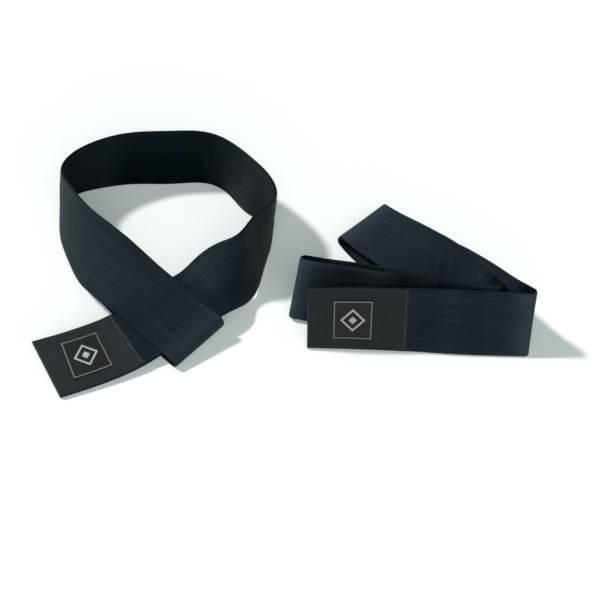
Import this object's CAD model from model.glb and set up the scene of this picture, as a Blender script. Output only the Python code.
"""Looks of a pair of webbing wrist lifting straps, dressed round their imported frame.

Each strap is one strip of black webbing. It has a sewn eye at one end, and a ribbed cover with a woven label
at the other. The threaded strap stands on edge as a wrist loop, and the folded strap stands beside it, folded
in four. Every length is in metres, +Z is up, and the floor is at zero.
"""
import logging
import math
from collections.abc import Callable
from dataclasses import dataclass
from enum import Enum

import bpy
import numpy as np
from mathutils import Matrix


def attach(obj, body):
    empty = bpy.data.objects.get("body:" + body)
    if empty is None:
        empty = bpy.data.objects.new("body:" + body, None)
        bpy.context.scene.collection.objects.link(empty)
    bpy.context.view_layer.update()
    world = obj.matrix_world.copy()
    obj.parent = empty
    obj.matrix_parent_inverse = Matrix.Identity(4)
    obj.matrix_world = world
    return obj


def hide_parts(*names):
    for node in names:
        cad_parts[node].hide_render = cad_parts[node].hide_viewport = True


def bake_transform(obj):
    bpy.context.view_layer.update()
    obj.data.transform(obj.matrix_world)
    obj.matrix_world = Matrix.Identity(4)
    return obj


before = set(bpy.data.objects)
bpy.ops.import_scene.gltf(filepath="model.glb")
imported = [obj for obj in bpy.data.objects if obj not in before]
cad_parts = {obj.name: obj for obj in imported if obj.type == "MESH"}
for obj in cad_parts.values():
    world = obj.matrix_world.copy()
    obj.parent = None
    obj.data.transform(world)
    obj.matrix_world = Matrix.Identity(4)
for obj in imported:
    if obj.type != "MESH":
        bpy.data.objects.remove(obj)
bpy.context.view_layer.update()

LOG = logging.getLogger("wrist_straps")
MM = 0.001

Array = np.ndarray
Span = tuple[float, float]
Colour = tuple[float, float, float]
Socket = bpy.types.NodeSocket
Material = bpy.types.Material
Wave = Callable[[Array, Array], Array]


# Sizes shared by both straps


@dataclass(frozen=True)
class Webbing:
    """The webbing: a flat band of lengthwise ribs between two rounded selvedges, worn at its bends."""

    width: float = 38.0 * MM
    thick: float = 1.9 * MM
    gap: float = 0.35 * MM
    selvedge: float = 1.0 * MM
    selvedge_steps: int = 6
    ribs: int = 30
    rib_steps: int = 4
    rib_height: float = 0.13 * MM
    row_step: float = 1.5 * MM
    fold_rows: int = 28
    wear_step: float = 0.25 * MM
    wear_reach: float = 9.0 * MM
    wear_cut: int = 4
    wear_bend: float = 230.0
    dye: float = 0.55
    dye_fall: float = 0.2

    @property
    def half(self) -> float:
        """Half the width."""
        return self.width / 2

    @property
    def pitch(self) -> float:
        """From one layer's middle to the next one's."""
        return self.thick + self.gap

    @property
    def flat_half(self) -> float:
        """From the middle to where a selvedge starts to turn."""
        return self.half - self.selvedge

    def columns(self) -> Array:
        """Places across the webbing, from its lower selvedge to its upper one.

        Between the selvedges they are even, rib_steps to a rib. Round a selvedge they follow the sine of a
        turn that grows evenly to a right angle.

        Returns:
            Distances from the middle line, in rising order.
        """
        turn = np.linspace(0, math.pi / 2, self.selvedge_steps)[1:]
        edge = self.flat_half + self.selvedge * np.sin(turn)
        flat = np.linspace(-self.flat_half, self.flat_half, self.ribs * self.rib_steps + 1)
        return np.concatenate([-edge[::-1], flat, edge])

    def half_thickness(self, across: Array) -> Array:
        """Half the webbing's thickness at places across it.

        A rib is the size of a sine over its own pitch, so neighbours meet in a sharp valley. A selvedge is a
        quarter of an ellipse.

        Args:
            across: Distances from the middle line.

        Returns:
            Distances from the middle surface to either face.
        """
        place = (across + self.flat_half) / (2 * self.flat_half) * self.ribs
        rib = self.rib_height * (np.abs(np.sin(math.pi * place)) - 1)
        turned = np.clip((np.abs(across) - self.flat_half) / self.selvedge, 0, 1)
        round_edge = (self.thick / 2 - self.rib_height) * np.sqrt(1 - turned**2)
        return np.where(turned <= 0, self.thick / 2 + rib, round_edge)


WEB = Webbing()


@dataclass(frozen=True)
class Eye:
    """A strap's sewn eye: the end turned back under itself, open first and then closed by stitches."""

    opening: float = 57.0 * MM
    field: float = 20.0 * MM
    taper: float = 10.0 * MM
    foot_drop: float = 5.5 * MM
    head_drop: float = 7.4 * MM
    reach: float = 3.6 * MM
    slant: float = 0.0
    sew_inset: float = 1.4 * MM
    sew_margin: float = 4.5 * MM

    @property
    def length(self) -> float:
        """From the eye's fold to the end of its stitches."""
        return self.opening + self.field


@dataclass(frozen=True)
class Tail:
    """The cover and label at a strap's tail."""

    cover_length: float
    slant: float
    cover_thick: float = 0.7 * MM
    cover_inset: float = 0.4 * MM
    label_length: float = 21.5 * MM
    label_width: float = 23.5 * MM
    label_thick: float = 0.5 * MM
    label_from_end: float = 14.0 * MM
    seat: float = 0.3 * MM


# Hand-laid routes: x and y of the centre line, lift of the lower edge, and lean; millimetres and degrees

PLAN_ORIGIN = np.array([-9.10, 16.90]) * MM
BASE_LIFT = 0.05 * MM
WRIST_LOOP = [
    (-127.4, 34.0, 1.8, 28.0), (-138.2, 54.5, 1.4, 15.5), (-142.8, 70.5, 0.0, 7.0),
    (-139.3, 88.0, 0.0, 10.0), (-125.2, 98.7, 0.0, 3.5), (-101.7, 105.8, 0.0, -4.5),
    (-78.5, 106.7, 0.0, -7.0), (-57.3, 106.2, 0.0, -4.5), (-42.3, 95.4, 0.0, -6.5),
    (-29.3, 78.1, 0.0, -10.5), (-18.6, 64.3, 0.0, -3.5), (-16.4, 45.7, 0.0, -5.0),
    (-23.2, 29.9, 0.0, 7.5), (-33.3, 6.8, 1.6, 28.0), (-41.8, -0.3, 6.0, 52.5),
]
THREADED_TAIL = [(-117.0, -51.5, 0.6, 76.0), (-138.8, -61.0, 0.0, 75.0)]
LOOP_RUN = [
    (-1.0, -6.8, 0.0, -17.0), (14.0, -10.5, 0.0, -16.0), (30.0, -13.5, 0.0, -15.0), (52.0, -18.8, 0.0, -14.0),
    (75.0, -23.8, 0.0, -14.5), (90.0, -27.9, 0.0, -16.0), (103.0, -31.9, 0.0, -19.0),
]
INNER_RUN = [
    (104.2, -26.0, 0.0, 21.0), (98.6, -18.2, 0.5, 33.0), (91.4, -7.6, 1.5, 45.5), (83.4, 4.8, 2.8, 57.0),
    (74.6, 16.9, 4.4, 66.0), (66.5, 26.0, 5.4, 71.5), (57.8, 35.2, 6.0, 75.5), (48.5, 45.2, 6.0, 79.0),
    (39.0, 57.7, 6.0, 84.0),
]
BACK_RUN = [
    (39.0, 57.7, 0.0, -87.0), (46.2, 45.0, 0.0, -85.0), (56.5, 34.0, 0.0, -80.0), (67.5, 27.0, 0.0, -73.0),
    (78.5, 17.0, 0.0, -64.0), (89.0, 4.0, 0.0, -54.5), (101.0, -11.5, 0.0, -43.0), (113.3, -25.8, 0.0, -29.0),
    (124.0, -34.2, 0.0, -18.0),
]
FRONT_RUN = [
    (123.2, -38.7, 0.0, 19.0), (95.0, -36.5, 0.0, 23.0), (59.0, -34.5, 0.0, 20.0), (30.0, -33.5, 0.0, 17.0),
    (4.0, -33.0, 0.0, 15.0),
]


# Routes


def unit(v: Array) -> Array:
    """Scale every vector of an array to length one."""
    return v / np.linalg.norm(v, axis=-1, keepdims=True)


def smoothstep(low: float, high: float, x: Array) -> Array:
    """Rise from 0 at low to 1 at high, flat at both ends."""
    t = np.clip((x - low) / (high - low), 0, 1)
    return t * t * (3 - 2 * t)


def window(rise: Span, fall: Span, x: Array) -> Array:
    """Rise from 0 to 1 over one span, and fall back to 0 over another."""
    return smoothstep(*rise, x) * (1 - smoothstep(*fall, x))


def distances(line: Array) -> Array:
    """Distance along a line of points, from its first one to each."""
    return np.r_[0, np.cumsum(np.linalg.norm(np.diff(line, axis=0), axis=1))]


def natural_spline(knots: Array, values: Array, at: Array) -> Array:
    """Read a natural cubic spline.

    Args:
        knots: Places of the spline's points, in rising order.
        values: One row for each knot.
        at: Places to read.

    Returns:
        One row for each place.
    """
    h = np.diff(knots)
    n = len(knots)
    slope = np.diff(values, axis=0) / h[:, None]
    system = np.eye(n)
    inner = np.arange(1, n - 1)
    system[inner, inner - 1] = h[:-1]
    system[inner, inner] = 2 * (h[:-1] + h[1:])
    system[inner, inner + 1] = h[1:]
    right = np.zeros((n, values.shape[1]))
    right[1:-1] = 6 * np.diff(slope, axis=0)
    bend = np.linalg.solve(system, right)
    k = np.clip(np.searchsorted(knots, at) - 1, 0, n - 2)
    a = ((knots[k + 1] - at) / h[k])[:, None]
    b = 1 - a
    curve = ((a**3 - a) * bend[k] + (b**3 - b) * bend[k + 1]) * h[k][:, None] ** 2 / 6
    return a * values[k] + b * values[k + 1] + curve


def half_height(lean: Array | float) -> Array | float:
    """Half the height of a strip that stands on its edge at a lean."""
    return (WEB.width * np.cos(lean) + WEB.thick * np.abs(np.sin(lean))) / 2


def stations(rows: list[tuple[float, float, float, float]]) -> Array:
    """Turn hand-laid rows into stations, with each lower edge at its lift above the floor.

    Args:
        rows: x, y and lift in millimetres, and lean in degrees.

    Returns:
        x, y, z and lean of each station.
    """
    laid = np.array(rows)
    laid[:, :3] *= MM
    laid[:, 3] = np.radians(laid[:, 3])
    laid[:, 2] += half_height(laid[:, 3])
    return laid


def still(s: Array, across: Array) -> Array:
    """No wave anywhere."""
    return np.zeros(np.broadcast(s, across).shape)


class Route:
    """A strip's centre line, with the directions of its width and outer face all along, and its waves."""

    FINE = 0.5 * MM

    def __init__(self, rows: Array, wave: Wave = still) -> None:
        """Run a natural spline through the stations.

        Args:
            rows: x, y, z and lean of each station.
            wave: How far the middle surface is moved at places along and across.
        """
        chord = distances(rows[:, :3])
        fine = np.linspace(0, chord[-1], int(chord[-1] / self.FINE) + 2)
        rows = natural_spline(chord, rows, fine)
        rows[:, 2] = np.maximum(rows[:, 2], half_height(rows[:, 3]))
        self.centre = rows[:, :3] - np.array([*PLAN_ORIGIN, -BASE_LIFT])
        self.s = distances(self.centre)
        self.length = float(self.s[-1])
        self.along = unit(np.gradient(self.centre, axis=0))
        upright = unit(np.array([0, 0, 1.0]) - self.along * self.along[:, 2:])
        side = np.cross(self.along, upright)
        lean = rows[:, 3:]
        self.width = upright * np.cos(lean) + side * np.sin(lean)
        self.face = np.cross(self.width, self.along)
        self.wave = wave

    def read(self, values: Array, s: Array) -> Array:
        """Interpolate rows of values at distances along the strip."""
        return np.stack([np.interp(s, self.s, values[:, i]) for i in range(3)], axis=-1)

    def point(self, s: Array | float, across: Array | float, off: Array | float = 0.0) -> Array:
        """Points on or near the strip. Past either end the strip runs on straight.

        Args:
            s: Distances along the strip.
            across: Distances from the centre line towards the upper edge.
            off: Distances from the middle surface towards the outer face.

        Returns:
            Points, in the shape that the three arrays broadcast to.
        """
        s, across, off = np.broadcast_arrays(s, across, off)
        past = (s - np.clip(s, 0, self.length))[..., None]
        width = unit(self.read(self.width, s))
        face = unit(self.read(self.face, s))
        centre = self.read(self.centre, s) + unit(self.read(self.along, s)) * past
        return centre + width * across[..., None] + face * off[..., None]

    def over(self, s: Array | float, across: Array | float, off: Array | float = 0.0) -> Array:
        """Points at a height over the middle surface with its waves.

        Args:
            s: Distances along the strip.
            across: Distances from its middle line.
            off: Distances from the waved middle surface towards the outer face.

        Returns:
            Points, in the shape that the three arrays broadcast to.
        """
        s, across, off = np.broadcast_arrays(s, across, off)
        return self.point(s, across, off + self.wave(s, across))


def steps(start: float, end: float, step: float = WEB.row_step) -> Array:
    """Even places from start to end, about a step apart."""
    return np.linspace(start, end, max(2, round(abs(end - start) / step) + 1))


def fold(first: Array, second: Array, reach: float) -> Array:
    """Bridge two runs of rows by a cubic Bezier curve in each column, which leaves and arrives along them.

    Args:
        first: Rows that lead to the fold.
        second: Rows that follow it.
        reach: How far each handle reaches.

    Returns:
        The rows between them, without the two that they meet.
    """
    t = np.linspace(0, 1, WEB.fold_rows + 1)[1:-1, None, None]
    start, end = first[-1], second[0]
    p = start + unit(first[-1] - first[-2]) * reach
    q = end - unit(second[1] - second[0]) * reach
    return (1 - t) ** 3 * start + 3 * (1 - t) ** 2 * t * p + 3 * (1 - t) * t**2 * q + t**3 * end


# Meshes

CLOTH_MAP = "cloth"
WEAR = "wear"
WEB_CREASE = 50.0
SEWN_CREASE = 80.0


@dataclass
class Shape:
    """A closed mesh before it is put into Blender, with a place on the cloth for every vertex."""

    points: Array
    faces: list[tuple[int, ...]]
    cloth: Array

    def __add__(self, other: "Shape") -> "Shape":
        """Put two shapes into one.

        Args:
            other: The second shape.

        Returns:
            Both, in this order.
        """
        shift = len(self.points)
        moved = [tuple(i + shift for i in face) for face in other.faces]
        points = np.vstack([self.points, other.points])
        return Shape(points, self.faces + moved, np.vstack([self.cloth, other.cloth]))


def ring_quads(rows: int, ring: int) -> list[tuple[int, ...]]:
    """Quads between neighbouring rows of closed rings of vertices.

    Args:
        rows: How many rings there are.
        ring: How many vertices each has.

    Returns:
        Four corners for each face.
    """
    i = np.arange(rows - 1)[:, None] * ring
    k = np.arange(ring)
    after = (k + 1) % ring
    quads = np.stack([i + k, i + after, i + ring + after, i + ring + k], axis=-1)
    return [tuple(quad) for quad in quads.reshape(-1, 4).tolist()]


def cap_faces(first: int, columns: int, ring: int) -> list[tuple[int, ...]]:
    """Close a flat ring, whose upper face runs one way and lower face back, by a ladder of faces.

    Args:
        first: The ring's first vertex.
        columns: How many of its vertices are on the upper face.
        ring: How many vertices it has.

    Returns:
        Three or four corners for each face.
    """
    upper = first + np.arange(columns)
    lower = first + (-np.arange(columns)) % ring
    corners = np.stack([upper[:-1], upper[1:], lower[1:], lower[:-1]], axis=-1)
    return [tuple(dict.fromkeys(face)) for face in corners.tolist()]


def facing_out(points: Array, faces: list[tuple[int, ...]]) -> list[tuple[int, ...]]:
    """Turn every face round if the closed mesh holds a negative volume.

    Args:
        points: The mesh's vertices.
        faces: Its faces.

    Returns:
        The faces, all the other way round where the volume was negative.
    """
    volume = 0.0
    for size in {len(face) for face in faces}:
        corners = points[np.array([face for face in faces if len(face) == size])]
        for k in range(1, size - 1):
            volume += np.einsum("ij,ij->", corners[:, 0], np.cross(corners[:, k], corners[:, k + 1]))
    return faces if volume > 0 else [face[::-1] for face in faces]


def sheet_shape(upper: Array, lower: Array, cloth: Array) -> Shape:
    """Close a sheet between two grids of points that meet in their first and last columns.

    Args:
        upper: The outer face, rows by columns.
        lower: The inner face, in the same order.
        cloth: Distance along and across the cloth for each point of a face, and on webbing how worn it is.

    Returns:
        The sheet, with a flat end at its first and last row.
    """
    rows, columns = upper.shape[:2]
    back = slice(columns - 2, 0, -1)
    ring = 2 * columns - 2
    points = np.concatenate([upper, lower[:, back]], axis=1).reshape(-1, 3)
    places = np.concatenate([cloth, cloth[:, back]], axis=1).reshape(-1, cloth.shape[-1])
    start = [face[::-1] for face in cap_faces(0, columns, ring)]
    return Shape(points, ring_quads(rows, ring) + start + cap_faces((rows - 1) * ring, columns, ring), places)


def link(name: str, data: bpy.types.ID) -> bpy.types.Object:
    """Put a mesh, lamp or camera into the scene as an object at the origin.

    Args:
        name: The object's name.
        data: The mesh, lamp or camera.

    Returns:
        The object.
    """
    made = bpy.data.objects.new(name, data)
    bpy.context.scene.collection.objects.link(made)
    return made


def piece(name: str, shape: Shape, material: Material, crease: float = WEB_CREASE) -> bpy.types.Object:
    """Make a shape a Blender object at the origin, its cloth places kept as a UV map.

    Args:
        name: The piece's name.
        shape: The closed mesh.
        material: Its finish.
        crease: Edges sharper than this angle, in degrees, stay sharp.

    Returns:
        The object.
    """
    mesh = bpy.data.meshes.new(name)
    mesh.from_pydata(shape.points.tolist(), [], facing_out(shape.points, shape.faces))
    corner = np.zeros(len(mesh.loops), np.int32)
    mesh.loops.foreach_get("vertex_index", corner)
    places = shape.cloth[corner, :2].astype(np.float32)
    mesh.uv_layers.new(name=CLOTH_MAP).data.foreach_set("uv", places.ravel())
    if shape.cloth.shape[1] > 2:
        worn = shape.cloth[:, 2].astype(np.float32)
        mesh.attributes.new(WEAR, "FLOAT", "POINT").data.foreach_set("value", worn)
    mesh.polygons.foreach_set("use_smooth", np.ones(len(mesh.polygons), bool))
    mesh.set_sharp_from_angle(angle=math.radians(crease))
    mesh.materials.append(material)
    return link(name, mesh)


# Finishes

BLACK: Colour = (0.0, 0.0, 0.0)
WHITE: Colour = (1.0, 1.0, 1.0)
YARN_DIP: Span = (0.7, 1.0)
Grain = tuple[float, float, float]


class Graph:
    """The node tree of a material or a world, with short ways to add nodes and to do sums."""

    def __init__(self, owner: Material | bpy.types.World, shader: str = "Principled BSDF") -> None:
        """Start from the owner's own shader.

        Args:
            owner: The material or world.
            shader: The name of the shader that it starts with.
        """
        owner.use_nodes = True
        self.owner = owner
        self.tree = owner.node_tree
        self.shader = self.tree.nodes[shader]

    def feed(self, socket: Socket, value: object) -> None:
        """Link a socket to another node's output, or set its value.

        Args:
            socket: The socket.
            value: An output, or a number or colour.
        """
        if isinstance(value, Socket):
            self.tree.links.new(value, socket)
        elif isinstance(value, tuple) and socket.type == "RGBA":
            socket.default_value = (*value, 1.0)
        else:
            socket.default_value = value

    def put(self, node: bpy.types.Node, inputs: dict[str, object]) -> bpy.types.Node:
        """Feed a node's sockets by name.

        Args:
            node: The node.
            inputs: Outputs or values by socket name, with _ for a space.

        Returns:
            The node.
        """
        for key, value in inputs.items():
            self.feed(node.inputs[key.replace("_", " ")], value)
        return node

    def shade(self, **inputs: object) -> None:
        """Feed the shader's sockets."""
        self.put(self.shader, inputs)

    def add(self, kind: str, settings: dict[str, object] | None = None, **inputs: object) -> bpy.types.Node:
        """Add a node.

        Args:
            kind: The node's type, without its ShaderNode prefix.
            settings: Properties of the node itself.
            **inputs: Values or outputs for its sockets.

        Returns:
            The node.
        """
        node = self.tree.nodes.new("ShaderNode" + kind)
        for key, value in (settings or {}).items():
            setattr(node, key, value)
        return self.put(node, inputs)

    def math(self, operation: str, *values: object) -> Socket:
        """One sum of a Math node.

        Args:
            operation: The Math node's operation.
            *values: Its one, two or three values.

        Returns:
            The result.
        """
        node = self.add("Math", {"operation": operation})
        for socket, value in zip(node.inputs, values):
            self.feed(socket, value)
        return node.outputs[0]

    def ramp(self, value: object, span: Span) -> Socket:
        """Stretch a number so that 0 becomes the span's first value and 1 its second."""
        return self.math("MULTIPLY_ADD", value, span[1] - span[0], span[0])

    def blend(self, share: object, low: object, high: object) -> Socket:
        """Mix two colours.

        Args:
            share: How much of the second colour there is, from 0 to 1.
            low: The first colour.
            high: The second colour.

        Returns:
            The mix.
        """
        node = self.add("Mix", {"data_type": "RGBA"})
        for index, value in ((0, share), (6, low), (7, high)):
            self.feed(node.inputs[index], value)
        return node.outputs[2]

    def cloth(self) -> tuple[Socket, Socket]:
        """Read the place on the piece's cloth.

        Returns:
            Distance along and across it, in metres.
        """
        place = self.add("UVMap", {"uv_map": CLOTH_MAP})
        split = self.add("SeparateXYZ", Vector=place.outputs[0])
        return split.outputs[0], split.outputs[1]

    def noise(self, place: tuple[Socket, Socket], grain: Grain, detail: float = 2.0) -> Socket:
        """Noise on the cloth.

        Args:
            place: Distance along and across the cloth.
            grain: The noise's size along and across the cloth, and its slice.
            detail: The number of finer layers.

        Returns:
            The noise, from about 0 to 1.
        """
        u, v = (self.math("DIVIDE", distance, size) for distance, size in zip(place, grain))
        vector = self.add("CombineXYZ", X=u, Y=v, Z=grain[2])
        return self.add("TexNoise", Vector=vector.outputs[0], Scale=1.0, Detail=detail).outputs[0]

    def yarns(self, over: object, across: object, yarn: float, pick: float) -> Socket:
        """Height of a weave whose yarns run side by side and dip under a pick in turn.

        Each yarn is a parabola across its pitch, and a cosine along it that is half a pick later on the next
        yarn.

        Args:
            over: Distance along the yarns.
            across: Distance across them.
            yarn: From one yarn to the next.
            pick: From one dip to the next.

        Returns:
            The height, from 0 to 1.
        """
        place = self.math("DIVIDE", across, yarn)
        middle = self.math("SUBTRACT", self.math("FRACT", place), 0.5)
        crown = self.math("SUBTRACT", 1.0, self.math("MULTIPLY", self.math("POWER", middle, 2.0), 4.0))
        turn = self.math("MULTIPLY", self.math("FLOOR", place), math.pi)
        wave = self.math("COSINE", self.math("ADD", self.math("MULTIPLY", over, 2 * math.pi / pick), turn))
        return self.math("MULTIPLY", crown, self.ramp(wave, YARN_DIP))

    def finish(self, colour: object, roughness: object, height: object, relief: float) -> Material:
        """Feed the shader's colour, roughness and bump, and give back the material.

        Args:
            colour: Base colour.
            roughness: Roughness.
            height: Height from 0 to 1.
            relief: What a height of 1 stands for, in metres.

        Returns:
            The material.
        """
        bump = self.add("Bump", Strength=1.0, Distance=relief, Height=height)
        self.shade(Base_Color=colour, Roughness=roughness, Normal=bump.outputs[0])
        return self.owner


@dataclass(frozen=True)
class Weave:
    """Yarns with fibres in them, coloured between a valley and a crown, a little lighter in clouds."""

    valley: Colour
    crown: Colour
    yarn: float
    pick: float
    fibre: Grain
    fibre_share: float
    cloud: Grain
    cloud_light: Span
    cloud_detail: float = 3.0

    def lay(
        self, g: Graph, place: tuple[Socket, Socket], over: Socket, beside: Socket
    ) -> tuple[Socket, Socket, Socket]:
        """Lay the weave on a cloth.

        The fibres' noise is added to the yarns' height. The colour follows the height times the clouds.

        Args:
            g: The material's nodes.
            place: Distance along and across the cloth.
            over: Which of the two runs along the yarns.
            beside: The other one.

        Returns:
            The weave's height, its clouds and its colour.
        """
        fibres = g.math("SUBTRACT", g.noise(place, self.fibre), 0.5)
        cloudy = g.noise(place, self.cloud, self.cloud_detail)
        height = g.math("MULTIPLY_ADD", fibres, self.fibre_share, g.yarns(over, beside, self.yarn, self.pick))
        light = g.math("MULTIPLY", g.ramp(cloudy, self.cloud_light), height)
        return height, cloudy, g.blend(light, self.valley, self.crown)


@dataclass(frozen=True)
class WebbingFinish:
    """Black webbing: ribs along it, paler streaks and bends where it is worn, and darker where it is not."""

    name: str = "woven_webbing"
    weave: Weave = Weave(
        valley=(0.003, 0.0055, 0.0075),
        crown=(0.010, 0.018, 0.026),
        yarn=0.6 * MM,
        pick=1.5 * MM,
        fibre=(1.1 * MM, 0.16 * MM, 3.0),
        fibre_share=0.35,
        cloud=(19 * MM, 11 * MM, 7.0),
        cloud_light=(0.45, 1.25),
    )
    streak: Colour = (0.022, 0.036, 0.048)
    streak_grain: Grain = (58 * MM, 3.2 * MM, 11.0)
    streak_gain: float = 4.0
    bulge: Colour = (0.062, 0.088, 0.106)
    bulge_light: Span = (0.3, 1.1)
    hollow: Colour = (0.0015, 0.0055, 0.0085)
    hollow_gain: float = 1.6
    hollow_most: float = 0.9
    rim_share: float = 0.9
    relief: float = 0.16 * MM
    roughness: Span = (0.48, 0.64)
    sheen: float = 0.05
    sheen_roughness: float = 0.35
    shine: float = 0.2
    shine_tint: Colour = (0.62, 0.88, 1.0)

    def material(self) -> Material:
        """Build the material.

        Streaks are the part of a long noise over a half. A bulging bend is paler by its wear squared, and a
        hollow one darker and duller by its wear. The selvedges fall off to the valleys' colour.

        Returns:
            The material.
        """
        g = Graph(bpy.data.materials.new(self.name))
        along, across = place = g.cloth()
        height, cloudy, colour = self.weave.lay(g, place, along, across)
        noise = g.math("SUBTRACT", g.noise(place, self.streak_grain), 0.5)
        streaks = g.math("MULTIPLY", g.math("MAXIMUM", noise, 0.0), self.streak_gain)
        colour = g.blend(g.math("MULTIPLY", streaks, height), colour, self.streak)
        wear = g.add("Attribute", {"attribute_name": WEAR}).outputs["Fac"]
        bulge = g.math("POWER", g.math("MAXIMUM", wear, 0.0), 2.0)
        colour = g.blend(g.math("MULTIPLY", bulge, g.ramp(cloudy, self.bulge_light)), colour, self.bulge)
        hollow = g.math("MAXIMUM", g.math("MULTIPLY", wear, -self.hollow_gain), 0.0)
        hollow = g.math("MINIMUM", hollow, self.hollow_most)
        colour = g.blend(hollow, colour, self.hollow)
        out = g.math("SUBTRACT", g.math("ABSOLUTE", across), WEB.flat_half)
        rim = g.math("MULTIPLY", g.math("MAXIMUM", out, 0.0), self.rim_share / WEB.selvedge)
        colour = g.blend(rim, colour, self.weave.valley)
        g.shade(
            Sheen_Weight=self.sheen,
            Sheen_Roughness=self.sheen_roughness,
            Specular_IOR_Level=g.ramp(hollow, (self.shine, 0.0)),
            Specular_Tint=self.shine_tint,
        )
        return g.finish(colour, g.ramp(cloudy, self.roughness), height, self.relief)


@dataclass(frozen=True)
class CoverFinish:
    """Charcoal cover cloth, with its yarns across the strap."""

    name: str = "ribbed_cover"
    weave: Weave = Weave(
        valley=(0.006, 0.009, 0.010),
        crown=(0.027, 0.034, 0.038),
        yarn=1.1 * MM,
        pick=0.55 * MM,
        fibre=(0.2 * MM, 1.3 * MM, 5.0),
        fibre_share=0.3,
        cloud=(9 * MM, 14 * MM, 2.0),
        cloud_light=(0.6, 1.3),
    )
    relief: float = 0.10 * MM
    roughness: float = 0.62
    sheen: float = 0.06
    sheen_roughness: float = 0.4
    shine: float = 0.25
    shine_tint: Colour = (0.8, 0.92, 1.0)

    def material(self) -> Material:
        """Build the material.

        Returns:
            The material.
        """
        g = Graph(bpy.data.materials.new(self.name))
        along, across = place = g.cloth()
        height, _, colour = self.weave.lay(g, place, across, along)
        g.shade(
            Sheen_Weight=self.sheen,
            Sheen_Roughness=self.sheen_roughness,
            Specular_IOR_Level=self.shine,
            Specular_Tint=self.shine_tint,
        )
        return g.finish(colour, self.roughness, height, self.relief)


@dataclass(frozen=True)
class LabelFinish:
    """Dark satin label with a thin silver border and a brighter small lozenge, both woven in."""

    name: str = "woven_label"
    ground: Colour = (0.009, 0.012, 0.0135)
    silver: Colour = (0.30, 0.32, 0.33)
    bright: Colour = (0.66, 0.69, 0.70)
    line: float = 0.6 * MM
    border_inset: float = 0.35 * MM
    lozenge: float = 6.2 * MM
    lozenge_line: float = 1.0 * MM
    kernel: float = 2.3 * MM
    yarn: float = 0.28 * MM
    pick_yarns: int = 3
    yarn_light: Span = (0.55, 1.05)
    relief: float = 0.04 * MM
    roughness: float = 0.5
    shine: float = 0.25

    def band(self, g: Graph, distance: object, middle: float, width: float) -> Socket:
        """One within half a width of a middle distance, and zero elsewhere."""
        away = g.math("ABSOLUTE", g.math("SUBTRACT", distance, middle))
        return g.math("LESS_THAN", away, width / 2)

    def material(self, tail: Tail) -> Material:
        """Build the material, for a label whose cloth places start at its middle.

        The border is a band of the distance to the nearest edge. The lozenge is a band, and its kernel the
        inside, of the sum of the distances from both middle lines.

        Args:
            tail: Gives the label's size.

        Returns:
            The material.
        """
        g = Graph(bpy.data.materials.new(self.name))
        along, across = g.cloth()
        x, y = g.math("ABSOLUTE", along), g.math("ABSOLUTE", across)
        to_end = g.math("SUBTRACT", tail.label_length / 2, x)
        to_side = g.math("SUBTRACT", tail.label_width / 2, y)
        to_edge = g.math("MINIMUM", to_end, to_side)
        border = self.band(g, to_edge, self.border_inset + self.line / 2, self.line)
        from_middle = g.math("ADD", x, y)
        lozenge = self.band(g, from_middle, self.lozenge, self.lozenge_line * math.sqrt(2))
        mark = g.math("MAXIMUM", lozenge, g.math("LESS_THAN", from_middle, self.kernel))
        height = g.yarns(across, along, self.yarn, self.pick_yarns * self.yarn)
        colour = g.blend(mark, g.blend(border, self.ground, self.silver), self.bright)
        colour = g.blend(g.ramp(height, self.yarn_light), BLACK, colour)
        g.shade(Specular_IOR_Level=self.shine)
        return g.finish(colour, self.roughness, height, self.relief)


@dataclass(frozen=True)
class ThreadFinish:
    """Dark polyester sewing thread, whose twist is a sine along it and round it."""

    name: str
    colour: Colour
    dark: Colour = (0.004, 0.005, 0.006)
    twist: float = 0.5 * MM
    light: Span = (0.5, 1.0)
    relief: float = 0.06 * MM
    roughness: float = 0.5
    shine: float = 0.2

    def material(self) -> Material:
        """Build the material.

        Returns:
            The material.
        """
        g = Graph(bpy.data.materials.new(self.name))
        turn = g.math("MULTIPLY", g.math("ADD", *g.cloth()), 2 * math.pi / self.twist)
        height = g.ramp(g.math("SINE", turn), (0.5, 1.0))
        colour = g.blend(g.ramp(height, self.light), self.dark, self.colour)
        g.shade(Specular_IOR_Level=self.shine)
        return g.finish(colour, self.roughness, height, self.relief)


@dataclass(frozen=True)
class Finishes:
    """The materials that the pieces share."""

    webbing: Material
    cover: Material
    label: Material
    thread: Material
    seam: Material


class Slot(Enum):
    """The record's material slots."""

    WEBBING = "webbing"
    COVER = "cover_cloth"
    LABEL = "label_cloth"
    THREAD = "thread"


class Held(Enum):
    """How a piece of cloth is held."""

    LAID = "laid"
    FOLDED = "folded"


# Straps


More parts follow.
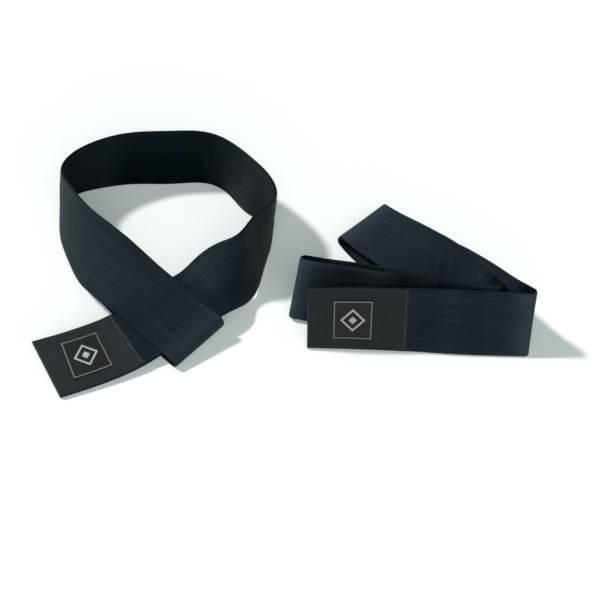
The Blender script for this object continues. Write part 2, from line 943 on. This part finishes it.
@dataclass
class Strip:
    """One whole strip of webbing: its middle surface as rows of points, with the distance along it.

    Its shade says how much of its dye each row's inner face has kept, from 0 to 1.
    """

    middle: Array
    along: Array
    shade: Array

    @classmethod
    def of(cls, runs: list[Array]) -> "Strip":
        """Join runs of rows. The distance along is measured on the middle column.

        Args:
            runs: The runs, from the strip's cut end to its tail.

        Returns:
            The strip, with no shade.
        """
        middle = np.concatenate(runs)
        along = distances(middle[:, middle.shape[1] // 2])
        return cls(middle, along, np.zeros(len(along)))

    def normals(self) -> Array:
        """The outer face's direction at every point, square to the rows and to the columns.

        Returns:
            Vectors of length one.
        """
        down = np.gradient(self.middle, self.along, axis=0)
        over = np.gradient(self.middle, axis=1)
        return unit(np.cross(over, down))

    def turn(self, first: int, last: int) -> tuple[Array, Array]:
        """Where a stretch that crosses a joint starts and ends its turn, so that both end rows stay whole.

        The two points lie on a line square to the webbing's width. They are as far in as either end row
        reaches along that line, with its thickness.

        Args:
            first: The stretch's first row.
            last: Its last row.

        Returns:
            The start and the end.
        """
        ends = self.middle[[first, last]]
        width = unit(unit(ends[:, -1] - ends[:, 0]).sum(axis=0))
        run = ends[1].mean(axis=0) - ends[0].mean(axis=0)
        run = unit(run - width * (run @ width))
        rise = np.abs(self.normals()[[first, last]] @ run) * WEB.thick / 2
        reach = ends @ run
        start, end = (reach[0] + rise[0]).max(), (reach[1] - rise[1]).min()
        origin = ends.mean(axis=(0, 1))
        return origin + run * (start - origin @ run), origin + run * (end - origin @ run)

    def wear(self) -> Array:
        """How worn the outer face of each row is, from 1 where it bulges to -1 where it is folded in.

        It is the square root of the bend towards the inner face, spread over the neighbours by a bell curve.

        Returns:
            The wear of each row.
        """
        middle = self.middle.shape[1] // 2
        heading = unit(np.gradient(self.middle[:, middle], self.along, axis=0))
        turn = np.gradient(heading, self.along, axis=0)
        bend = -np.einsum("ij,ij->i", turn, self.normals()[:, middle])
        even = np.arange(0, self.along[-1], WEB.wear_step)
        cut = WEB.wear_cut * WEB.wear_reach
        bell = np.exp(-((np.arange(-cut, cut, WEB.wear_step) / WEB.wear_reach) ** 2))
        spread = np.convolve(np.interp(even, self.along, bend), bell / bell.sum(), mode="same")
        share = np.clip(np.interp(self.along, even, spread) / WEB.wear_bend, -1, 1)
        return np.sign(share) * np.sqrt(np.abs(share))

    def stretch(self, first: int, last: int, faded: float) -> Shape:
        """The solid webbing between two rows.

        Each face stands off the middle surface by half the thickness, along its normal. The inner face is
        worn the other way round from the outer one, and at least as dark as its dye, more so low down.

        Args:
            first: The first row.
            last: The last row.
            faded: How much of the wear shows where a face bulges.

        Returns:
            The webbing.
        """
        columns = WEB.columns()
        rows = slice(first, last + 1)
        rise = self.normals()[rows] * WEB.half_thickness(columns)[None, :, None]
        middle = self.middle[rows]
        places = np.broadcast_arrays(self.along[rows, None], columns, self.wear()[rows, None])
        shape = sheet_shape(middle + rise, middle - rise, np.stack(places, axis=-1))
        inner = shape.cloth.reshape(len(middle), -1, 3)[:, len(columns) :]
        dark = self.shade[rows, None] * (WEB.dye - WEB.dye_fall * inner[:, :, 1] / WEB.half)
        inner[:, :, 2] = np.minimum(-inner[:, :, 2], -dark)
        worn = shape.cloth[:, 2]
        worn[worn > 0] *= faded
        return shape


@dataclass(frozen=True)
class Part:
    """A piece's name, the body or two bodies that it rides on, and the nodes that it replaces."""

    name: str
    bodies: tuple[str, ...]
    nodes: tuple[str, ...]


@dataclass(frozen=True)
class Ripple:
    """Slow waves that webbing keeps from being handled, out of its middle surface.

    The waves are sines along and across the webbing. Their sizes, lengths and phases are drawn from a seed.
    """

    seed: int
    height: float = 0.22 * MM
    waves: int = 7
    lengths: Span = (24 * MM, 90 * MM)
    breadths: Span = (11 * MM, 40 * MM)

    def at(self, s: Array, across: Array) -> Array:
        """The height of the waves at places on the webbing.

        Args:
            s: Distances along the strip.
            across: Distances from its middle line.

        Returns:
            Heights over the middle surface.
        """
        draw = np.random.default_rng(self.seed)
        total = np.zeros(np.broadcast(s, across).shape)
        for _ in range(self.waves):
            length, breadth = draw.uniform(*self.lengths), draw.uniform(*self.breadths)
            phase, tilt = draw.uniform(0, 2 * math.pi, 2)
            total += np.sin(2 * math.pi * s / length + phase) * np.cos(2 * math.pi * across / breadth + tilt)
        return total * self.height * 2 / self.waves


@dataclass(frozen=True)
class Pucker:
    """A patch of short slanting wrinkles, where a fold behind pushes the webbing out.

    The wrinkles are a cosine across their slant, in a patch that fades as a bell curve.
    """

    along: float = 43.0 * MM
    across: float = 3.0 * MM
    reach: float = 12.0 * MM
    narrow: float = 0.62
    height: float = -0.8 * MM
    pitch: float = 7.0 * MM
    slant: float = math.radians(-40.0)

    def at(self, s: Array, across: Array) -> Array:
        """The height of the wrinkles at places on the webbing.

        Args:
            s: Distances along the strip.
            across: Distances from its middle line.

        Returns:
            Heights over the middle surface.
        """
        u, v = s - self.along, across - self.across
        fade = np.exp(-((u / self.reach) ** 2) - (v / (self.narrow * self.reach)) ** 2)
        place = u * math.cos(self.slant) + v * math.sin(self.slant)
        return self.height * fade * np.cos(2 * math.pi * place / self.pitch)


@dataclass(frozen=True)
class Stitching:
    """Lines of lockstitch: each stitch is an arched, blunt-ended thread that dips into the cloth."""

    length: float = 2.1 * MM
    pitch: float = 2.7 * MM
    radius: float = 0.26 * MM
    sunk: float = 0.6
    arch: float = 0.9
    least_arch: float = 0.01
    blunt: int = 6
    least_end: float = 0.02
    rings: int = 9
    sides: int = 8

    def line(self, route: Route, start: Span, end: Span, off: float) -> Shape:
        """One straight line of stitches.

        A stitch's thread rises over the cloth as the square root of a sine. Its radius is the square root of
        what a high power of the distance from its middle leaves.

        Args:
            route: The strap's route.
            start: Distance along and across the strap where the line starts.
            end: Where it ends.
            off: The cloth's height over the webbing's middle surface.

        Returns:
            The stitches, as one shape.
        """
        first, last = np.array(start), np.array(end)
        run = float(np.linalg.norm(last - first))
        count = max(1, int(run / self.pitch))
        t = np.linspace(0, 1, self.rings)
        arch = np.sqrt(np.sin(math.pi * t) + self.least_arch**2)
        begin = (np.arange(count) + 0.5) * run / count - self.length / 2
        along = (begin[:, None] + self.length * t) / run
        place = first + along[..., None] * (last - first)
        high = off - self.radius * self.sunk + self.radius * self.arch * arch
        centre = route.over(place[..., 0], place[..., 1], high)
        up = unit(route.over(place[..., 0], place[..., 1], high + MM) - centre)
        forward = unit(np.gradient(centre, axis=1))
        side = unit(np.cross(forward, up))
        up = np.cross(side, forward)
        turn = np.linspace(0, 2 * math.pi, self.sides, endpoint=False)
        radius = self.radius * np.sqrt(np.clip(1 - (2 * t - 1) ** self.blunt, self.least_end, 1))
        spoke = side[:, :, None] * np.cos(turn)[:, None] + up[:, :, None] * np.sin(turn)[:, None]
        points = centre[:, :, None] + spoke * radius[None, :, None, None]
        cloth = np.stack(np.broadcast_arrays(along[:, :, None] * run, self.radius * turn), axis=-1)
        foot = tuple(range(self.sides))
        head = tuple((self.rings - 1) * self.sides + k for k in foot)
        single = [*ring_quads(self.rings, self.sides), foot[::-1], head]
        step = self.rings * self.sides
        faces = [tuple(i + n * step for i in face) for n in range(count) for face in single]
        return Shape(points.reshape(-1, 3), faces, cloth.reshape(-1, 2))

    def box(self, route: Route, start: float, end: float, half: float, off: float) -> Shape:
        """A box of stitches: a line along each side of a rectangle on the strap.

        Args:
            route: The strap's route.
            start: Distance along the strap where the box starts.
            end: Where it ends.
            half: Half its width.
            off: The cloth's height over the webbing's middle surface.

        Returns:
            The stitches, as one shape.
        """
        corners = [(start, -half), (end, -half), (end, half), (start, half)]
        sides = [self.line(route, a, b, off) for a, b in zip(corners, corners[1:] + corners[:1])]
        return sides[0] + sides[1] + sides[2] + sides[3]


@dataclass(frozen=True)
class TailDress:
    """What is sewn on a strap's tail, laid on the outer face of its route."""

    tail: Tail
    rib: float = 1.1 * MM
    rib_rows: int = 8
    rib_height: float = 0.22 * MM
    turned: float = 0.45 * MM
    turned_steps: int = 5
    cut_edge: float = 0.08
    columns: int = 41
    label_grid: tuple[int, int] = (41, 45)
    pillow: float = 0.12 * MM
    seam_inset: float = 1.6 * MM
    seam_margin: float = 1.0 * MM
    seam_pitch: float = 2.25 * MM
    label_sew_inset: float = 1.15 * MM

    def label_span(self, route: Route) -> Span:
        """Where the label starts and ends along the strap."""
        end = route.length - self.tail.label_from_end
        return end - self.tail.label_length, end

    def places(self, low: float, high: float, count: int) -> Array:
        """Places from edge to edge of a cloth: even, and closer where it turns down, as a cosine.

        Args:
            low: The first edge.
            high: The other edge.
            count: How many places lie between the turned edges.

        Returns:
            The places, in rising order.
        """
        turn = self.turned * (1 - np.cos(np.linspace(0, math.pi / 2, self.turned_steps)))[:-1]
        flat = np.linspace(low + self.turned, high - self.turned, count)
        return np.concatenate([low + turn, flat, high - turn[::-1]])

    def rim(self, places: Array) -> Array:
        """How full a cloth is at such places: a quarter circle from nothing at an edge to full height.

        Args:
            places: The places, from edge to edge.

        Returns:
            Shares of the full height.
        """
        inner = np.minimum(places - places[0], places[-1] - places)
        return np.sqrt(1 - np.clip(1 - inner / self.turned, 0, 1) ** 2)

    def patch(self, route: Route, s: Array, across: Array, base: float, rise: Array, origin: float) -> Shape:
        """A thin cloth that lies on the strap: an upper face over a flat one, meeting at its long edges.

        Args:
            route: The strap's route.
            s: Distances along the strap, one for each row or for each point.
            across: Distances across it, one for each column.
            base: Height of the lower face.
            rise: Height of the upper face over the lower one.
            origin: Distance along the strap where the cloth's own places start.

        Returns:
            The closed cloth.
        """
        cloth = np.stack(np.broadcast_arrays(s - origin, across), axis=-1)
        return sheet_shape(route.over(s, across, base + rise), route.over(s, across, base), cloth)

    def cover(self, route: Route) -> Shape:
        """The ribbed cover.

        Its ribs are half sines across the strap's length, full inside its rim. Its rows slant more and more
        towards the strap's end.

        Args:
            route: The strap's route.

        Returns:
            The cover.
        """
        t, end = self.tail, route.length
        half = WEB.half - t.cover_inset
        start = end - t.cover_length
        s = self.places(start, end, round((t.cover_length - 2 * self.turned) / (self.rib / self.rib_rows)))
        across = self.places(-half, half, self.columns)
        ribs = self.rib_height * (np.abs(np.sin(math.pi * (s - start) / self.rib)) - 1)
        full = np.maximum(self.rim(s), self.cut_edge)[:, None] * self.rim(across)
        slanted = s[:, None] - t.slant * (1 - across / half) * smoothstep(start, end, s)[:, None]
        rise = (t.cover_thick + ribs[:, None]) * full
        return self.patch(route, slanted, across, WEB.thick / 2 + t.seat / 2, rise, start)

    def label(self, route: Route) -> Shape:
        """The label, fuller in its middle by a parabola along and across.

        Args:
            route: The strap's route.

        Returns:
            The label.
        """
        t = self.tail
        start, end = self.label_span(route)
        middle, half = (start + end) / 2, t.label_width / 2
        s = self.places(start, end, self.label_grid[0])
        across = self.places(-half, half, self.label_grid[1])
        full = np.maximum(self.rim(s), self.cut_edge)[:, None] * self.rim(across)
        x = (s[:, None] - middle) / (t.label_length / 2)
        pillow = self.pillow * np.clip(1 - x**2, 0, 1) * np.clip(1 - (across / half) ** 2, 0, 1)
        base = WEB.thick / 2 + t.cover_thick + t.seat
        return self.patch(route, s[:, None], across, base, t.label_thick * full + pillow, middle)

    def cover_seam(self, route: Route) -> Shape:
        """A line of stitches across the cover's inner end.

        Args:
            route: The strap's route.

        Returns:
            The stitches.
        """
        half = WEB.half - self.tail.cover_inset - self.seam_margin
        at = route.length - self.tail.cover_length + self.seam_inset
        off = WEB.thick / 2 + self.tail.seat / 2 + self.tail.cover_thick
        return Stitching(pitch=self.seam_pitch).line(route, (at, -half), (at, half), off)

    def label_seam(self, route: Route) -> Shape:
        """A box of stitches round the label, inside its border.

        Args:
            route: The strap's route.

        Returns:
            The stitches.
        """
        t, inset = self.tail, self.label_sew_inset
        start, end = self.label_span(route)
        off = WEB.thick / 2 + t.cover_thick + t.seat + t.label_thick
        return Stitching().box(route, start + inset, end - inset, t.label_width / 2 - inset, off)


@dataclass
class Strap:
    """What both straps share: building an eye, sewing, and putting pieces on their bodies.

    Its parts are the pieces of its webbing, from its cut end to its tail. Faded says how much of the wear
    shows.
    """

    finishes: Finishes
    prefix: str
    held: Held
    faded: float
    eye: Eye
    tail: Tail
    parts: tuple[Part, ...]

    def __post_init__(self) -> None:
        """Work out the places across the webbing."""
        self.columns = WEB.columns()

    def eye_runs(self, route: Route) -> list[Array]:
        """The eye, from the strip's cut end to the end of its stitches.

        The turned-back layer lies under the stitches at one layer's pitch. It drops to its full depth over
        the taper, follows the upper layer to its fold, and turns up into it.

        Args:
            route: The strap's centre line, whose start is the eye's fold.

        Returns:
            Runs of rows, from the cut end to where the strip leaves the eye.
        """
        eye, bare = self.eye, self.eye.opening - self.eye.taper
        share = (self.columns + WEB.half) / WEB.width
        drop = eye.foot_drop + (eye.head_drop - eye.foot_drop) * share
        closing = route.point(steps(eye.length, eye.opening)[:, None], self.columns, -WEB.pitch)
        start = eye.slant * (1 + self.columns / WEB.half)
        back = np.linspace(0, 1, round(bare / WEB.row_step))[:, None]
        under = route.point(bare * (1 - back) + start * back, self.columns, -drop)
        out = np.linspace(0, 1, round(eye.length / WEB.row_step))[:, None]
        over = route.point(start * (1 - out) + eye.length * out, self.columns)
        taper = np.linspace(0, 1, round(eye.taper / WEB.row_step) + 1)[1:-1, None, None]
        slope = closing[-1] * (1 - taper) + under[0] * taper
        return [closing, slope, under, fold(under, over, eye.reach), over]

    def dress(self, obj: bpy.types.Object, part: Part, slot: Slot, flat: Span | None) -> None:
        """Put a finished piece on its body, and say what it stands for.

        Args:
            obj: The piece.
            part: Its bodies and the nodes that it replaces.
            slot: Its material slot.
            flat: The width and length that its cloth was cut to, if it is cloth.
        """
        if len(part.bodies) == 1:
            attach(obj, part.bodies[0])
        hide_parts(*part.nodes)
        LOG.info("%s: %d faces on %s", obj.name, len(obj.data.polygons), " and ".join(part.bodies))

    def webbing(self, strip: Strip, ends: list[int]) -> None:
        """Make the webbing's pieces. One shorter than a third of its width is too short to be a sheet.

        Args:
            strip: The whole strip.
            ends: The last row of each part, which is also the next part's first.
        """
        for part, first, last in zip(self.parts, [0, *ends], ends):
            obj = piece(part.name, strip.stretch(first, last, self.faded), self.finishes.webbing)
            if len(part.bodies) == 2:
                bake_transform(obj)
            length = float(strip.along[last] - strip.along[first])
            flat = (WEB.width, length) if length > WEB.width / 3 else None
            self.dress(obj, part, Slot.WEBBING, flat)

    def sew(
        self,
        node: str,
        shape: Shape,
        material: Material,
        body: str,
        slot: Slot = Slot.THREAD,
        flat: Span | None = None,
    ) -> None:
        """Make one sewn piece, of cloth if it has a flat size and otherwise of thread.

        Args:
            node: The node that it replaces, without the strap's prefix.
            shape: Its mesh.
            material: Its finish.
            body: What it rides on.
            slot: Its material slot.
            flat: The width and length that its cloth was cut to.
        """
        name = f"{self.prefix}_{node}"
        obj = piece(name + ("_cloth" if flat else "_thread"), shape, material, SEWN_CREASE)
        self.dress(obj, Part(obj.name, (body,), (name,)), slot, flat)

    def sew_all(self, eye_route: Route, tail_route: Route) -> None:
        """Sew the eye shut, cover the tail, and sew on its label.

        Args:
            eye_route: The route that starts at the eye's fold.
            tail_route: The route that ends at the tail's end.
        """
        eye, tail, looks = self.eye, self.tail, self.finishes
        body = self.parts[0].bodies[0]
        start, end = eye.opening + eye.sew_inset, eye.length - eye.sew_inset
        box = Stitching().box(eye_route, start, end, WEB.half - eye.sew_margin, WEB.thick / 2)
        self.sew("eye_stitching", box, looks.thread, body)
        body = self.parts[-1].bodies[0]
        dress = TailDress(tail)
        cover_flat = (WEB.width - 2 * tail.cover_inset, tail.cover_length)
        self.sew("tail_cover", dress.cover(tail_route), looks.cover, body, Slot.COVER, cover_flat)
        label_flat = (tail.label_width, tail.label_length)
        self.sew("label", dress.label(tail_route), looks.label, body, Slot.LABEL, label_flat)
        self.sew("cover_stitching", dress.cover_seam(tail_route), looks.seam, body)
        self.sew("label_stitching", dress.label_seam(tail_route), looks.thread, body)


@dataclass
class ThreadedStrap(Strap):
    """The strap that is drawn up as a wrist loop, its tail drawn through its own eye."""

    prefix: str = "threaded"
    held: Held = Held.LAID
    faded: float = 0.62
    eye: Eye = Eye()
    tail: Tail = Tail(cover_length=50.0 * MM, slant=2.2 * MM)
    parts: tuple[Part, ...] = (
        Part("threaded_eye_webbing", ("wrist_loop",), ("threaded_eye_web", "threaded_left_web")),
        Part("threaded_back_webbing", ("wrist_loop", "loop_side"), ("threaded_back_web",)),
        Part("threaded_side_webbing", ("loop_side",), ("threaded_side_web",)),
        Part("threaded_draw_webbing", ("loop_side", "wrist_loop"), ("threaded_draw_web",)),
        Part("threaded_through_webbing", ("wrist_loop",), ("threaded_through_web",)),
        Part("threaded_run_out_webbing", ("wrist_loop", "threaded_tail"), ("threaded_run_out_web",)),
        Part("threaded_tail_webbing", ("threaded_tail",), ("threaded_tail_web",)),
    )
    crossing: Span = (-74.0 * MM, -24.8 * MM)
    slope: float = math.radians(15.0)
    eye_heading: float = math.radians(137.0)
    tail_heading: float = math.radians(217.0)
    fold_to_crossing: float = 23.1 * MM
    eye_pitch: float = WEB.pitch + 0.5 * MM
    eye_run: tuple[float, ...] = (-23.1 * MM, -12.0 * MM, 0.0, 12.0 * MM, 25.0 * MM)
    tail_run: tuple[float, ...] = (-25.0 * MM, -12.0 * MM, 0.0, 12.0 * MM, 25.0 * MM)
    left_end: float = 135.0 * MM
    back_end: float = 245.0 * MM
    side_end: float = 330.0 * MM
    before_crossing: float = 24.5 * MM
    past_crossing: float = 21.5 * MM
    run_out: float = 4.0 * MM
    run_out_rows: int = 24
    loop_ripple: Ripple = Ripple(11)
    loop_rise: Span = (92 * MM, 125 * MM)
    loop_fall: Span = (350 * MM, 385 * MM)
    tail_ripple: Ripple = Ripple(5, 0.3 * MM)
    tail_rise: float = 14 * MM
    dye_rise: Span = (168 * MM, 206 * MM)
    dye_fall: Span = (238 * MM, 266 * MM)

    def __post_init__(self) -> None:
        """Lay the route from the fold of the eye, round the wrist and through the eye to the tail."""
        super().__post_init__()
        facing = np.array([0, -math.sin(self.slope), math.cos(self.slope)])
        along, across = self.plane_axes(self.eye_heading)
        height = WEB.thick / 2 + 2 * self.eye_pitch * facing[2] + self.fold_to_crossing * along[2]
        over = np.array([*self.crossing, height + WEB.half * across[2]])
        under = over - facing * self.eye_pitch
        into = self.plane_stations(over, self.eye_heading, self.eye_run)
        out = self.plane_stations(under, self.tail_heading, self.tail_run)
        rows = [into, stations(WRIST_LOOP), out, stations(THREADED_TAIL)]
        self.route = Route(np.vstack(rows), self.wave)
        away = np.linalg.norm(self.route.centre[:, :2] - (np.array(self.crossing) - PLAN_ORIGIN), axis=1)
        away[self.route.s < self.route.length / 2] = np.inf
        self.cross = float(self.route.s[np.argmin(away)])

    def plane_axes(self, heading: float) -> tuple[Array, Array]:
        """Axes of a strip that lies in the sloping plane of the eye.

        Args:
            heading: The strip's direction in the plane, from +X.

        Returns:
            Directions along the strip, and across it to its upper edge.
        """
        up_slope = np.array([0, math.cos(self.slope), math.sin(self.slope)])
        level = np.array([1.0, 0, 0])
        along = level * math.cos(heading) + up_slope * math.sin(heading)
        return along, level * math.sin(heading) - up_slope * math.cos(heading)

    def plane_stations(self, middle: Array, heading: float, places: tuple[float, ...]) -> Array:
        """Stations of a straight run in the sloping plane of the eye.

        Args:
            middle: The run's middle point.
            heading: Its direction in the plane.
            places: Distances of the stations from the middle.

        Returns:
            x, y, z and lean of each station.
        """
        along, across = self.plane_axes(heading)
        upright = unit(np.array([0, 0, 1.0]) - along * along[2])
        lean = math.atan2(across @ np.cross(along, upright), across @ upright)
        return np.column_stack([middle + np.outer(places, along), np.full(len(places), lean)])

    def wave(self, s: Array, across: Array) -> Array:
        """Waves round the wrist and on the tail, and none in the eye or where the tail meets the floor.

        Args:
            s: Distances along the strip.
            across: Distances from its middle line.

        Returns:
            Heights over the middle surface.
        """
        loop = window(self.loop_rise, self.loop_fall, s)
        out = self.cross + self.past_crossing
        tail = smoothstep(out, out + self.tail_rise, s) * (across + WEB.half) / WEB.width
        return self.loop_ripple.at(s, across) * loop + self.tail_ripple.at(s, across) * tail

    def build(self) -> None:
        """Make every piece of the strap, from its cut end to its tail. The tail's rows slant at their end."""
        into_eye = self.cross - self.before_crossing
        out_of_eye = self.cross + self.past_crossing
        tail_start, tail_end = out_of_eye + self.run_out, self.route.length
        webs = [self.left_end, self.back_end, self.side_end]
        stops = [self.eye.length, *webs, into_eye, out_of_eye, tail_start]
        runs = self.eye_runs(self.route)
        ends = []
        for first, last in zip(stops, stops[1:]):
            short = last - first < 2 * self.run_out
            s = steps(first, last, self.run_out / self.run_out_rows if short else WEB.row_step)[1:, None]
            runs.append(self.route.over(s, self.columns))
            ends.append(sum(len(run) for run in runs) - 1)
        s = steps(tail_start, tail_end)[1:, None]
        slant = self.tail.slant * (1 - self.columns / WEB.half) * smoothstep(tail_start, tail_end, s)
        runs.append(self.route.point(s - slant, self.columns, self.wave(s, self.columns)))
        strip = Strip.of(runs)
        s = strip.along - strip.along[ends[0]] + self.left_end
        strip.shade = window(self.dye_rise, self.dye_fall, s)
        self.webbing(strip, [*ends, len(strip.along) - 1])
        self.sew_all(self.route, self.route)


@dataclass
class FoldedStrap(Strap):
    """The strap that is folded in half and in half again, standing on its edges."""

    prefix: str = "folded"
    held: Held = Held.FOLDED
    faded: float = 1.0
    eye: Eye = Eye(foot_drop=5.2 * MM, head_drop=5.2 * MM, reach=5.2 * MM * 2 / 3, slant=2.0 * MM)
    tail: Tail = Tail(cover_length=55.0 * MM, slant=0.0)
    parts: tuple[Part, ...] = (
        Part("folded_eye_webbing", ("folded_loop",), ("folded_eye_web", "folded_loop_web")),
        Part("folded_inner_fold_webbing", ("folded_loop", "folded_middle"), ("folded_inner_fold",)),
        Part(
            "folded_middle_webbing",
            ("folded_middle",),
            ("folded_inner_web", "folded_mid_fold", "folded_back_web"),
        ),
        Part("folded_outer_fold_webbing", ("folded_middle", "folded_front"), ("folded_outer_fold",)),
        Part("folded_front_webbing", ("folded_front",), ("folded_front_web",)),
    )
    mid_slant: float = 3.0 * MM
    pucker: Pucker = Pucker()
    inner_reach: float = 4.6 * MM
    mid_reach: float = 4.4 * MM
    outer_reach: float = 3.0 * MM
    inner_ripple: Ripple = Ripple(31, 0.2 * MM)
    back_ripple: Ripple = Ripple(37, 0.25 * MM)
    front_ripple: Ripple = Ripple(23, 0.34 * MM)
    near_fold: float = 2 * MM
    past_fold: float = 22 * MM
    front_rise: Span = (2 * MM, 20 * MM)
    cover_edge: Span = (-15 * MM, 5 * MM)
    cover_calm: float = 0.7

    def __post_init__(self) -> None:
        """Lay the four runs."""
        super().__post_init__()
        self.loop = Route(stations(LOOP_RUN))
        self.inner = Route(stations(INNER_RUN), self.inner_wave)
        self.back = Route(stations(BACK_RUN), self.back_wave)
        self.front = Route(stations(FRONT_RUN), self.front_wave)

    def between_folds(self, route: Route, s: Array) -> Array:
        """One along the middle of a run, falling to zero at its folds."""
        fall = (route.length - self.past_fold, route.length - self.near_fold)
        return window((self.near_fold, self.past_fold), fall, s)

    def inner_wave(self, s: Array, across: Array) -> Array:
        """Waves and wrinkles of the inner run.

        Args:
            s: Distances along the strip.
            across: Distances from its middle line.

        Returns:
            Heights over the middle surface.
        """
        wave = self.inner_ripple.at(s, across) * self.between_folds(self.inner, s)
        return wave + self.pucker.at(s, across)

    def back_wave(self, s: Array, across: Array) -> Array:
        """Waves of the back run."""
        return self.back_ripple.at(s, across) * self.between_folds(self.back, s)

    def front_wave(self, s: Array, across: Array) -> Array:
        """Waves of the front run: full past its fold, and faint under the cover.

        Args:
            s: Distances along the strip.
            across: Distances from its middle line.

        Returns:
            Heights over the middle surface.
        """
        cover = self.front.length - self.tail.cover_length
        low, high = self.cover_edge
        under = 1 - self.cover_calm * smoothstep(cover + low, cover + high, s)
        return self.front_ripple.at(s, across) * smoothstep(*self.front_rise, s) * under

    def run(self, route: Route, start: Array | float, end: Array | float) -> Array:
        """Rows of one run, with its waves.

        Args:
            route: The run's route.
            start: Where each column starts.
            end: Where each column ends.

        Returns:
            Rows of points.
        """
        t = steps(0, 1, WEB.row_step / route.length)[:, None]
        return route.over(start + (end - start) * t, self.columns)

    def build(self) -> None:
        """Make every piece of the strap, from its cut end to its tail.

        The middle fold is slanted. Each of the other two is a piece that shares its neighbours' end rows.
        """
        eye = self.eye_runs(self.loop)
        loop = self.loop.over(steps(self.eye.length, self.loop.length)[1:, None], self.columns)
        lean = self.mid_slant * self.columns / WEB.half
        inner = self.run(self.inner, 0.0, self.inner.length + lean)
        back = self.run(self.back, -lean, self.back.length)
        front = self.front.over(steps(0, self.front.length)[:, None], self.columns)
        folds = [
            fold(loop, inner, self.inner_reach),
            fold(inner, back, self.mid_reach),
            fold(back, front, self.outer_reach),
        ]
        parts = [[*eye, loop], folds[:1], [inner, folds[1], back], folds[2:], [front]]
        rows = np.cumsum([sum(len(run) for run in runs) for runs in parts])
        shared = [0 if len(part.bodies) == 2 else 1 for part in self.parts]
        self.webbing(Strip.of([run for runs in parts for run in runs]), (rows - shared).tolist())
        self.sew_all(self.loop, self.front)


# Studio


@dataclass(frozen=True)
class Studio:
    """A pale floor, soft light and a camera at the photograph's angle.

    Lamps are given by the direction from the straps to them. The floor's glow shows only to the camera and in
    reflections.
    """

    elevation: float = math.radians(44.0)
    distance: float = 0.810
    lens: float = 85.0
    sensor: float = 36.0
    nearest: float = 0.01
    target: tuple[float, float, float] = (9.10 * MM, -16.90 * MM, 0.0)
    key_from: tuple[float, float, float] = (-29.6, 12.4, 36.0)
    key_angle: float = math.radians(6.0)
    key_strength: float = 2.25
    fill_from: tuple[float, float, float] = (6.0, -28.0, 12.0)
    fill_angle: float = math.radians(60.0)
    fill_strength: float = 1.75
    sky: float = 0.15
    sky_tint: Colour = (0.85, 1.0, 0.98)
    floor_size: float = 8.0
    floor_seen: Colour = WHITE
    floor_bounce: Colour = (0.18, 0.18, 0.18)
    floor_glow: float = 0.165
    floor_tint: Colour = (0.82, 1.0, 0.98)
    floor_mirrored: float = 0.8
    floor_roughness: float = 0.9

    def camera(self) -> None:
        """Place the camera so that the target falls in the middle of the picture."""
        data = bpy.data.cameras.new("camera")
        data.lens = self.lens
        data.sensor_width = self.sensor
        data.clip_start = self.nearest
        camera = link("camera", data)
        back = np.array([0, -math.cos(self.elevation), math.sin(self.elevation)])
        camera.location = np.array(self.target) + back * self.distance
        camera.rotation_euler = (math.pi / 2 - self.elevation, 0, 0)
        bpy.context.scene.camera = camera

    def lamp(self, name: str, towards: tuple[float, float, float], angle: float, strength: float) -> None:
        """Add a distant lamp.

        Args:
            name: Its name.
            towards: Direction from the straps to it.
            angle: How wide it looks from the straps.
            strength: Its irradiance.
        """
        data = bpy.data.lights.new(name, "SUN")
        data.angle = angle
        data.energy = strength
        lamp = link(name, data)
        x, y, z = unit(np.array(towards))
        lamp.location = (x, y, z)
        lamp.rotation_euler = (math.acos(z), 0, math.atan2(y, x) + math.pi / 2)

    def lights(self) -> None:
        """A lamp from the left and a little behind, a wide one low in front, and an even sky, seen white."""
        self.lamp("key", self.key_from, self.key_angle, self.key_strength)
        self.lamp("fill", self.fill_from, self.fill_angle, self.fill_strength)
        g = Graph(bpy.data.worlds.new("sky"), "Background")
        seen = g.add("LightPath").outputs["Is Camera Ray"]
        g.shade(Strength=g.ramp(seen, (self.sky, 1.0)), Color=g.blend(seen, self.sky_tint, WHITE))
        bpy.context.scene.world = g.owner

    def floor(self) -> None:
        """A wide pale floor: white where the camera sees it lit, and duller for the light it throws back."""
        half = self.floor_size / 2
        mesh = bpy.data.meshes.new("floor")
        corners = [(-half, -half, 0), (half, -half, 0), (half, half, 0), (-half, half, 0)]
        mesh.from_pydata(corners, [], [(0, 1, 2, 3)])
        g = Graph(bpy.data.materials.new("pale_floor"))
        path = g.add("LightPath").outputs
        mirrored = g.math("MULTIPLY", path["Is Glossy Ray"], self.floor_mirrored)
        seen = g.math("MAXIMUM", path["Is Camera Ray"], mirrored)
        g.shade(
            Base_Color=g.blend(seen, self.floor_bounce, self.floor_seen),
            Roughness=self.floor_roughness,
            Emission_Color=self.floor_tint,
            Emission_Strength=g.math("MULTIPLY", seen, self.floor_glow),
        )
        mesh.materials.append(g.owner)
        link("floor", mesh)

    def build(self) -> None:
        """Set up the whole studio."""
        self.camera()
        self.lights()
        self.floor()
        bpy.context.scene.view_settings.view_transform = "Standard"


def main() -> None:
    """Build the studio and both straps."""
    logging.basicConfig(level=logging.INFO, format="%(name)s: %(message)s")
    Studio().build()
    finishes = Finishes(
        webbing=WebbingFinish().material(),
        cover=CoverFinish().material(),
        label=LabelFinish().material(ThreadedStrap.tail),
        thread=ThreadFinish(name="dark_thread", colour=(0.016, 0.021, 0.024)).material(),
        seam=ThreadFinish(name="grey_thread", colour=(0.10, 0.13, 0.125)).material(),
    )
    for strap in (ThreadedStrap, FoldedStrap):
        strap(finishes).build()


if __name__ == "__main__":
    main()
